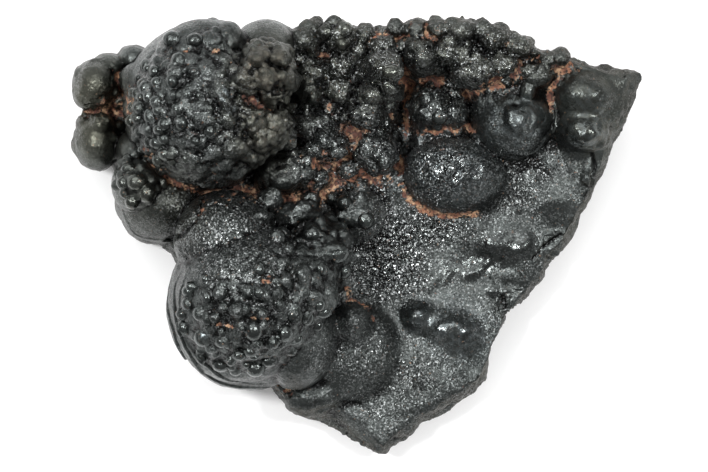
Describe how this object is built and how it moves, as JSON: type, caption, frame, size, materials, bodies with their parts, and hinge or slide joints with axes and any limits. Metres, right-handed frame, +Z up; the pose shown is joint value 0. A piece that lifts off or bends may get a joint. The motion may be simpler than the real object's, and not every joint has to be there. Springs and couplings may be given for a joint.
{
  "type": "botryoidal goethite specimen",
  "caption": "Loose mineral specimen: broken slab of black iron ore with knobbly mounds, crowded lumps along the back and smooth low domes, resting on a flat underside.",
  "frame": {"origin": "under the middle of the piece's bounding box, on the surface that it rests on", "axes": "+Z up from the flat foot to the crowns of the mounds, +X along the longest extent towards the thin right corner, +Y towards the crowded ridge along the back"},
  "size_m": [0.092, 0.0702, 0.0336],
  "materials": {
    "black_goethite": "black to steel grey with a sub-metallic sheen: smooth domes, sparkling crystal crusts, and rusty orange earth in the crevices"
  },
  "bodies": {
    "root": {"goethite": "black_goethite"}
  },
  "joints": []
}
